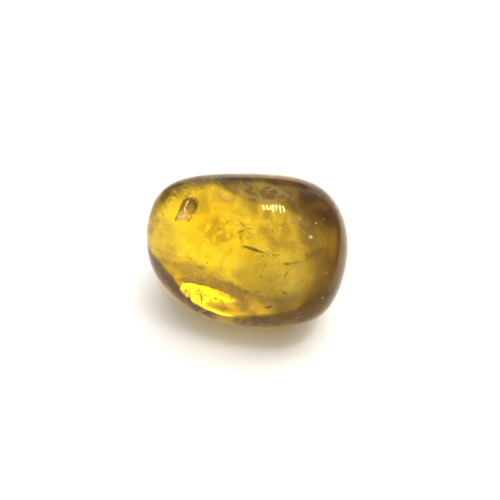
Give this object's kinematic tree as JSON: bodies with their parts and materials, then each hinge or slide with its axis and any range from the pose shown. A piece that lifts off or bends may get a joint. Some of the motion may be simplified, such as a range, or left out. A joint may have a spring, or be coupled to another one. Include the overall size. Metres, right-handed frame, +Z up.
{
  "type": "tumbled calcite pebble",
  "caption": "Golden see-through calcite pebble, tumbled smooth and rounded, with one small cleavage pit and a worn flat that it rests on.",
  "frame": {"origin": "on the surface that the stone rests on, under the middle of its box", "axes": "+X along the stone's length, +Y from its clear front to its back, +Z up"},
  "size_m": [0.0256, 0.023, 0.0186],
  "materials": {
    "honey_calcite": "tumble-polished, golden yellow and see-through, clear plain transmission with absorption, refractive index about 1.6"
  },
  "bodies": {
    "root": {"tumbled_stone": "honey_calcite"}
  },
  "joints": []
}
